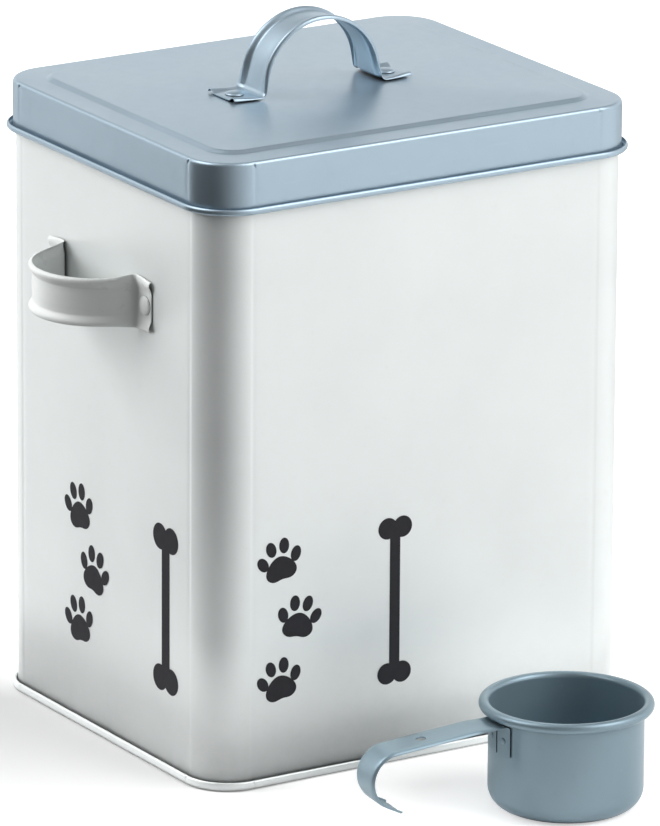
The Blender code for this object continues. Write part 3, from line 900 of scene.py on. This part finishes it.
def scoop_grip(place):
    path = grip_path()
    wall = path[0][0]
    sections = []
    for here, normal in across_path(path):
        flanged = max(0.0, min(1.0, (here.x - wall - GRIP_ROOT_BEND) / GRIP_BLEND))
        section = []
        for across, drop in grip_section():
            spot = here - normal * drop * flanged
            across += GRIP_TAB_SHIFT * (1 - flanged)
            sag = wall - math.sqrt(wall * wall - across * across)
            section.append((spot.x - sag * (1 - flanged), across, spot.y))
        sections.append(section)
    grip = add_object("grip", loft("grip", sections, False))
    thicken(grip, GRIP_SHEET)
    tab = GRIP_SLIT_TOP - GRIP_TAB_FOOT
    slit = block((SLIT_CUTTER_DEPTH, GRIP_SLIT_WIDTH, 2 * tab))
    cut(grip, slit, Matrix.Translation((wall, GRIP_TAB_SHIFT, GRIP_SLIT_TOP - tab)))
    hole = cylinder(GRIP_HOLE_RADIUS, HOLE_CUTTER_LENGTH)
    cut(grip, hole, Matrix.Translation((GRIP_HOLE_STATION, 0, GRIP_ROOT_TOP)))
    grip.matrix_world = place
    soften(grip, GRIP_CUT_EDGE)
    return piece(grip, SCOOP_PAINT, "scoop", "scoop_paint", "scoop_handle")


def scoop_rivets(place):
    head = quarter_dome(SCOOP_RIVET_HEAD, SCOOP_RIVET_HEIGHT, 8)
    profile = head + [(0.6 * SCOOP_RIVET_HEAD, -GRIP_SHEET), (0.0, -GRIP_SHEET)]
    seat_radius = CUP_RADIUS + GAP + GRIP_SHEET + GAP / 2
    for name, side in (("left", 1), ("right", -1)):
        angle = math.asin((GRIP_TAB_SHIFT + side * SCOOP_RIVET_SIDE) / seat_radius)
        spot = (seat_radius * math.cos(angle), seat_radius * math.sin(angle), SCOOP_RIVET_Z)
        turn = Matrix.Rotation(angle, 4, "Z") @ Matrix.Rotation(math.radians(90), 4, "Y")
        matrix = place @ Matrix.Translation(spot) @ turn
        rivet = add_object(f"scoop_{name}_stud", turned("stud", profile, RIVET_STEPS), matrix)
        piece(rivet, SCOOP_PAINT, "scoop", "scoop_paint", f"scoop_rivet_{name}")


# Printed motifs


def bone_outline(height, shaft, knob, spread):
    """An upright bone: a shaft of half width `shaft` with two round knobs at each end."""
    reach = height / 2 - knob
    join = -math.degrees(math.acos((shaft - spread) / knob))
    notch = math.degrees(math.acos(-spread / knob))
    quarter = arc((spread, reach), knob, join, notch - join, 24)
    top = quarter + [(-x, y) for x, y in quarter[::-1][1:]]
    return top + [(-x, -y) for x, y in top]


def oval(centre, half_x, half_y, turn, steps=36):
    points = []
    for x, y in arc((0, 0), 1.0, 0, 360 * (steps - 1) / steps, steps - 1):
        spot = Matrix.Rotation(math.radians(turn), 2) @ Vector((x * half_x, y * half_y))
        points.append((centre[0] + spot.x, centre[1] + spot.y))
    return points


def pad_outline(centre, size, steps=48):
    """A paw's main pad: wide and slightly notched below, narrow above."""
    points = []
    for x, y in arc((0, 0), 1.0, 0, 360 * (steps - 1) / steps, steps - 1):
        notch = 0.16 * bell(x, 0.35) if y < 0 else 0.0
        across = size * x * (1.0 - 0.26 * y)
        points.append((centre[0] + across, centre[1] + size * (0.78 * y + notch)))
    return points


def paw_outlines(centre, size, tilt):
    """A pad and four toes, turned by `tilt` degrees about the pad."""
    toes = ((-1.12, 0.62, 26), (-0.44, 1.34, 9), (0.44, 1.34, -9), (1.12, 0.62, -26))
    shapes = [pad_outline((0, 0), size)]
    for x, y, turn in toes:
        shapes.append(oval((x * size, y * size), 0.33 * size, 0.47 * size, turn))
    spin = Matrix.Rotation(math.radians(tilt), 2)
    placed = []
    for shape in shapes:
        spots = [spin @ Vector(point) for point in shape]
        placed.append([(centre[0] + spot.x, centre[1] + spot.y) for spot in spots])
    return placed


def paw_trail(width, height, size, count):
    """Paw prints that step from side to side as they climb."""
    shapes = []
    for i in range(count):
        side = -1 if i % 2 == 0 else 1
        level = -height / 2 + size + (height - 2.9 * size) * i / (count - 1)
        shapes += paw_outlines((side * (width / 2 - 1.45 * size), level), size, -10 * side)
    return shapes


def print_motif(name, shapes, wall_matrix):
    """One ink piece of several flat shapes, lying on a wall."""
    builder = bmesh.new()
    for shape in shapes:
        part = prism("shape", shape, INK_THICKNESS)
        builder.from_mesh(part)
        bpy.data.meshes.remove(part)
    motif = add_object(name, mesh_from(builder, name), wall_matrix)
    piece(motif, INK, "bin", "bin_paint")


def wall_spot(wall, along, z):
    """A frame on a wall's face: X to the viewer's right, Y up, Z out of the wall."""
    stand = Matrix.Rotation(math.radians(90), 4, "X")
    if wall == "front":
        return Matrix.Translation((along, -HALF_DEPTH - INK_LIFT, z)) @ stand
    turn = Matrix.Rotation(math.radians(-90), 4, "Z")
    return Matrix.Translation((-HALF_WIDTH - INK_LIFT, along, z)) @ turn @ stand


def motifs():
    height = MOTIF_HIGH - MOTIF_LOW
    z = (MOTIF_LOW + MOTIF_HIGH) / 2
    trail = paw_trail(40 * MM, height, 9.2 * MM, 3)
    slim_trail = paw_trail(34 * MM, height, 8.4 * MM, 3)
    bone = [bone_outline(height, 3.6 * MM, 6.6 * MM, 5.2 * MM)]
    slim_bone = [bone_outline(height, 2.9 * MM, 5.4 * MM, 4.2 * MM)]
    print_motif("paw_trail_left", trail, wall_spot("left", 18 * MM, z))
    print_motif("bone_left", bone, wall_spot("left", -58 * MM, z))
    print_motif("paw_trail_front", slim_trail, wall_spot("front", -77 * MM, z))
    print_motif("bone_front", slim_bone, wall_spot("front", -17 * MM, z))


# Studio


def direction_of(azimuth, elevation):
    """A unit vector: azimuth 0 is out of the front wall, 90 out of the right wall."""
    a = math.radians(azimuth)
    e = math.radians(elevation)
    return Vector((math.sin(a) * math.cos(e), -math.cos(a) * math.cos(e), math.sin(e)))


def camera():
    back = direction_of(CAMERA_AZIMUTH, CAMERA_ELEVATION)
    level = Vector((0, 0, 1)).cross(back).normalized()
    turn = Matrix((level, back.cross(level), back)).transposed()
    roll = Matrix.Rotation(math.radians(CAMERA_ROLL), 3, "Z")
    data = bpy.data.cameras.new("camera")
    data.lens = CAMERA_LENS
    data.sensor_width = CAMERA_SENSOR
    data.clip_end = CAMERA_REACH
    eye = bpy.data.objects.new("camera", data)
    bpy.context.scene.collection.objects.link(eye)
    place = Matrix.Translation(CAMERA_TARGET + back * CAMERA_DISTANCE)
    eye.matrix_world = place @ (turn @ roll).to_4x4()
    bpy.context.scene.camera = eye


def lamp(azimuth, elevation, spread, strength):
    """A broad soft lamp far away; the room, not the lamp, is what glossy paint mirrors."""
    data = bpy.data.lights.new("lamp", "SUN")
    data.angle = math.radians(spread)
    data.energy = strength
    thing = bpy.data.objects.new("lamp", data)
    bpy.context.scene.collection.objects.link(thing)
    towards = direction_of(azimuth, elevation)
    thing.matrix_world = towards.to_track_quat("Z", "Y").to_matrix().to_4x4()
    thing.visible_glossy = False


def side_blend(nodes, place, azimuth, start, full, levels):
    """A level that goes from the first to the second as `place` turns towards an azimuth."""
    outward = nodes.add("ShaderNodeVectorMath", operation="NORMALIZE")
    nodes.link(place, outward.inputs[0])
    dot = nodes.add("ShaderNodeVectorMath", operation="DOT_PRODUCT")
    nodes.link(outward.outputs["Vector"], dot.inputs[0])
    dot.inputs[1].default_value = direction_of(azimuth, 0)
    return nodes.remap(dot.outputs["Value"], start, full, *levels)


def unlit_blend(nodes, place, levels):
    """A level that goes from the first to the second towards the room's unlit side."""
    unlit = 1.0
    for azimuth, start, full in UNLIT_EDGES:
        edge = side_blend(nodes, place, azimuth, start, full, (0.0, 1.0))
        unlit = nodes.math("MULTIPLY", edge, unlit)
    return nodes.remap(unlit, 0.0, 1.0, *levels)


def glowing_room():
    """A pale room with one unlit side, which the camera sees as plain white."""
    world = bpy.data.worlds.new("room")
    world.use_nodes = True
    bpy.context.scene.world = world
    nodes = Nodes(world.node_tree)
    direction = nodes.add("ShaderNodeTexCoord").outputs["Generated"]
    glow = unlit_blend(nodes, direction, ROOM_LEVELS)
    height = nodes.add("ShaderNodeSeparateXYZ")
    nodes.link(direction, height.inputs["Vector"])
    start, end, level = CEILING_SHADE
    glow = nodes.math("MULTIPLY", glow, nodes.remap(height.outputs["Z"], start, end, 1.0, level))
    for azimuth, elevation, focus, level in REFLECTED_PANELS:
        dot = nodes.add("ShaderNodeVectorMath", operation="DOT_PRODUCT")
        dot.inputs[1].default_value = direction_of(azimuth, elevation)
        nodes.link(direction, dot.inputs[0])
        fall = nodes.math("MULTIPLY", nodes.math("SUBTRACT", dot.outputs["Value"], 1.0), focus)
        panel = nodes.math("MULTIPLY", nodes.math("EXPONENT", fall, 0.0), level)
        glow = nodes.math("ADD", glow, panel)
    seen = nodes.add("ShaderNodeLightPath").outputs["Is Camera Ray"]
    background = world.node_tree.nodes["Background"]
    nodes.link(nodes.math("MAXIMUM", glow, seen), background.inputs["Strength"])
    background.inputs["Color"].default_value = (1.0, 1.0, 1.0, 1.0)
    world.cycles_visibility.diffuse = False


def studio_floor():
    """A white floor. Bouncing light finds it dark some way out on the room's unlit side."""
    reach = FLOOR_REACH
    corners = [[(-reach, -reach, 0), (reach, -reach, 0)], [(-reach, reach, 0), (reach, reach, 0)]]
    floor = add_object("floor", loft("floor", corners, False))
    material = bpy.data.materials.new("floor")
    material.use_nodes = True
    nodes = Nodes(material.node_tree)
    shader = nodes.add("ShaderNodeBsdfDiffuse")
    spot = nodes.add("ShaderNodeTexCoord").outputs["Object"]
    distance = nodes.add("ShaderNodeVectorMath", operation="LENGTH")
    nodes.link(spot, distance.inputs[0])
    far_out = nodes.remap(distance.outputs["Value"], *NEAR_DISTANCES, 0.0, 1.0)
    near_bounce = unlit_blend(nodes, spot, FLOOR_NEAR_LEVELS)
    bounce = nodes.level_mix(far_out, near_bounce, unlit_blend(nodes, spot, FLOOR_FAR_LEVELS))
    bounce = nodes.math("MULTIPLY", bounce, side_blend(nodes, spot, *FLOOR_BEHIND))
    seen = nodes.add("ShaderNodeLightPath").outputs["Is Camera Ray"]
    nodes.link(nodes.level_mix(seen, bounce, FLOOR_WHITE), shader.inputs["Color"])
    # Painted light and shadow: a glow only the camera sees, weaker on the side where it paints the bin's
    # soft shadow.
    glow = nodes.add("ShaderNodeEmission")
    strength = side_blend(nodes, spot, *PAINTED_FLOOR_GLOW_AND_SHADOW)
    nodes.link(nodes.math("MULTIPLY", seen, strength), glow.inputs["Strength"])
    both = nodes.add("ShaderNodeAddShader")
    nodes.link(shader.outputs["BSDF"], both.inputs[0])
    nodes.link(glow.outputs["Emission"], both.inputs[1])
    output = material.node_tree.nodes["Material Output"]
    nodes.link(both.outputs["Shader"], output.inputs["Surface"])
    floor.data.materials.append(material)


def studio():
    studio_floor()
    glowing_room()
    for azimuth, elevation, spread, strength in LAMPS:
        lamp(azimuth, elevation, spread, strength)
    bpy.context.scene.view_settings.view_transform = "Standard"


wall_sheet()
lock_seam()
base_tray()
lid_sheet()
handles()
scoop_place = scoop_frame()
scoop_cup(scoop_place)
scoop_grip(scoop_place)
scoop_rivets(scoop_place)
motifs()
camera()
studio()
